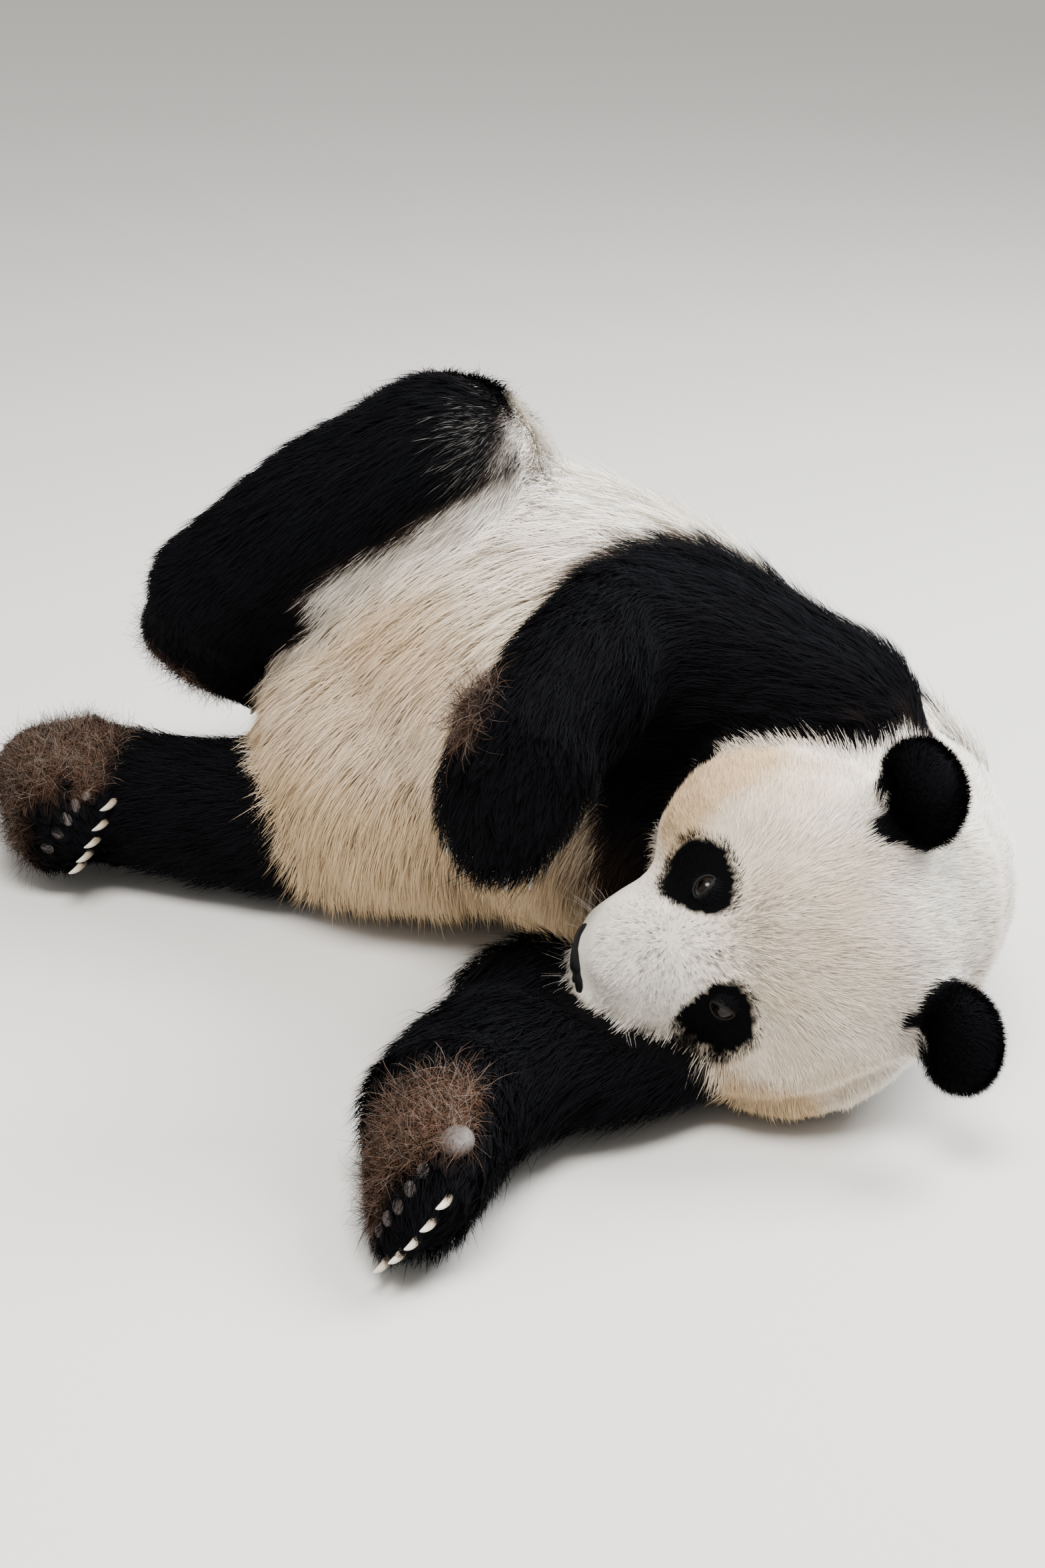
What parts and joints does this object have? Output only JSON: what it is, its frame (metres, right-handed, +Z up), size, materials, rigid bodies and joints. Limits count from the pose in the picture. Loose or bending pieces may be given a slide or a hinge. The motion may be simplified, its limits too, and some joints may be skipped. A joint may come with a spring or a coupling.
{
  "type": "giant panda figure",
  "caption": "Life-size still figure of a giant panda lying on its left side, with folded legs, rounded ears, a short tail and curved claws.",
  "frame": {"origin": "on the floor, under the middle of the bounding box", "axes": "+X towards the head, +Y towards the animal's back, -Y towards its belly, +Z up, away from the floor it lies on"},
  "size_m": [1.2588, 0.7942, 0.5299],
  "materials": {
    "cream_coat": "soft fur",
    "black_coat": "soft fur",
    "eye": "wet gloss",
    "nose_leather": "satin",
    "claw_horn": "smooth horn"
  },
  "bodies": {
    "root": {"head": "cream_coat", "neck": "cream_coat", "trunk": "cream_coat", "tail": "cream_coat", "ear_right": "black_coat", "ear_left": "black_coat", "upper_arm_right": "black_coat", "forearm_right": "black_coat", "forepaw_right": "black_coat", "upper_arm_left": "black_coat", "forearm_left": "black_coat", "forepaw_left": "black_coat", "thigh_right": "black_coat", "shank_right": "black_coat", "hindfoot_right": "black_coat", "thigh_left": "black_coat", "shank_left": "black_coat", "hindfoot_left": "black_coat", "eye_right": "eye", "eye_left": "eye", "nose": "nose_leather", "claw_forepaw_right_1": "claw_horn", "claw_forepaw_right_2": "claw_horn", "claw_forepaw_right_3": "claw_horn", "claw_forepaw_right_4": "claw_horn", "claw_forepaw_right_5": "claw_horn", "claw_forepaw_left_1": "claw_horn", "claw_forepaw_left_2": "claw_horn", "claw_forepaw_left_3": "claw_horn", "claw_forepaw_left_4": "claw_horn", "claw_forepaw_left_5": "claw_horn", "claw_hindfoot_right_1": "claw_horn", "claw_hindfoot_right_2": "claw_horn", "claw_hindfoot_right_3": "claw_horn", "claw_hindfoot_right_4": "claw_horn", "claw_hindfoot_right_5": "claw_horn", "claw_hindfoot_left_1": "claw_horn", "claw_hindfoot_left_2": "claw_horn", "claw_hindfoot_left_3": "claw_horn", "claw_hindfoot_left_4": "claw_horn", "claw_hindfoot_left_5": "claw_horn"}
  },
  "joints": []
}
